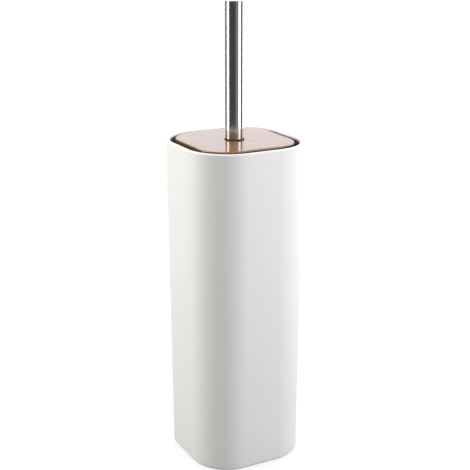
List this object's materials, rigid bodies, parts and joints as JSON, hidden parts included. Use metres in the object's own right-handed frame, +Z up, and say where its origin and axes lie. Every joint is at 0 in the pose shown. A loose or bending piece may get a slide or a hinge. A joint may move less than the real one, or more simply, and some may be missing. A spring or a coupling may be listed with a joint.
{
  "type": "toilet brush holder",
  "caption": "Tall tapered square toilet brush holder with round corners, a lift-out inner cup, and a brush whose bamboo lid carries a straight steel handle.",
  "frame": {"origin": "on the floor, on the holder's vertical axis", "axes": "+Z up along the handle; +X and +Y square to the holder's flat sides"},
  "size_m": [0.1, 0.1, 0.3783],
  "materials": {
    "shell": "fine matte white",
    "cup": "satin charcoal",
    "bamboo": "lacquered bamboo",
    "brushed_steel": "brushed round the tube, satin",
    "plain_steel": "turned",
    "black_rubber": "matte",
    "foot_rubber": "matte",
    "head_plastic": "satin white",
    "bristles": "nylon filament"
  },
  "bodies": {
    "holder": {"outer_shell": "shell", "foot_pad_1": "foot_rubber", "foot_pad_2": "foot_rubber", "foot_pad_3": "foot_rubber", "foot_pad_4": "foot_rubber"},
    "cup": {"inner_cup": "cup"},
    "brush": {"lid_board": "bamboo", "handle_washer": "black_rubber", "stem_washer": "black_rubber", "clamp_stud": "plain_steel", "handle_tube": "brushed_steel", "handle_cap": "brushed_steel", "handle_insert": "plain_steel", "brush_stem": "head_plastic", "head_core": "head_plastic", "tuft_row_1": "bristles", "tuft_row_2": "bristles", "tuft_row_3": "bristles", "tuft_row_4": "bristles", "tuft_row_5": "bristles", "tuft_row_6": "bristles", "tuft_end": "bristles"}
  },
  "joints": [
    {"name": "cup_lift", "type": "slide", "parent": "holder", "child": "cup", "axis": [0, 0, 1], "range_m": [0, 0.27]},
    {"name": "brush_lift", "type": "slide", "parent": "cup", "child": "brush", "axis": [0, 0, 1], "range_m": [0, 0.26]}
  ]
}
